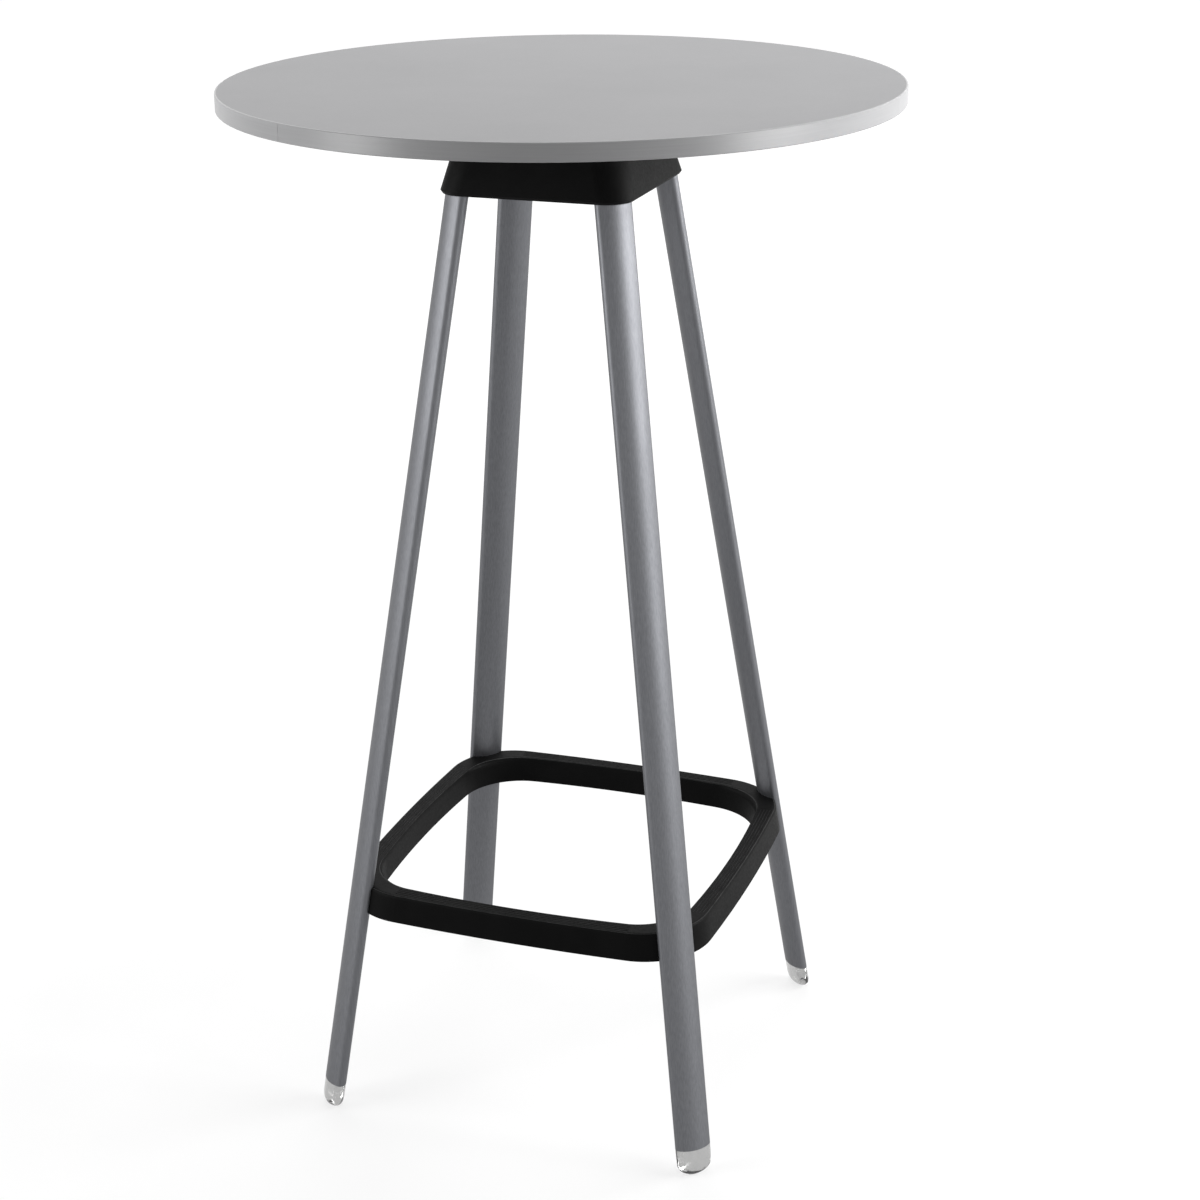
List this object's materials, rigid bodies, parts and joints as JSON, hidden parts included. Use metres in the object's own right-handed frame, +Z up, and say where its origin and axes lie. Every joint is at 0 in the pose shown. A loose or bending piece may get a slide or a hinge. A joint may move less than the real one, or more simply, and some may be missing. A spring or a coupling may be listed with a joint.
{
  "type": "bar table",
  "caption": "Tall round bar table on splayed oval metal legs with a black moulded hub, a square foot ring with grooved treads, and clear feet.",
  "frame": {"origin": "on the floor under the middle of the table top", "axes": "+Z up; the legs stand on the diagonals of X and Y, the foot ring's sides lie along X and Y"},
  "size_m": [0.7, 0.6999, 1.11],
  "materials": {
    "board": "light grey laminate-faced particle board, fine matt texture",
    "edge_band": "light grey semi-gloss plastic edging",
    "leg_metal": "satin silver, fine lengthwise grain",
    "black_plastic": "black, fine moulded texture",
    "plug_plastic": "dark moulded",
    "steel": "zinc plated",
    "black_steel": "black oxide",
    "clear_plastic": "clear, polished",
    "pad_rubber": "dark, matt"
  },
  "bodies": {
    "root": {"table_top": "board", "edge_band": "edge_band", "hub": "black_plastic", "foot_ring": "black_plastic", "top_inserts": "steel", "top_screws": "steel", "leg_bolts": "steel", "leg_washers": "steel", "ring_screws": "black_steel", "ring_rivet_nuts": "steel", "leg_back_right": "leg_metal", "leg_plug_back_right": "plug_plastic", "foot_back_right": "clear_plastic", "foot_pad_back_right": "pad_rubber", "leg_back_left": "leg_metal", "leg_plug_back_left": "plug_plastic", "foot_back_left": "clear_plastic", "foot_pad_back_left": "pad_rubber", "leg_front_left": "leg_metal", "leg_plug_front_left": "plug_plastic", "foot_front_left": "clear_plastic", "foot_pad_front_left": "pad_rubber", "leg_front_right": "leg_metal", "leg_plug_front_right": "plug_plastic", "foot_front_right": "clear_plastic", "foot_pad_front_right": "pad_rubber"}
  },
  "joints": []
}
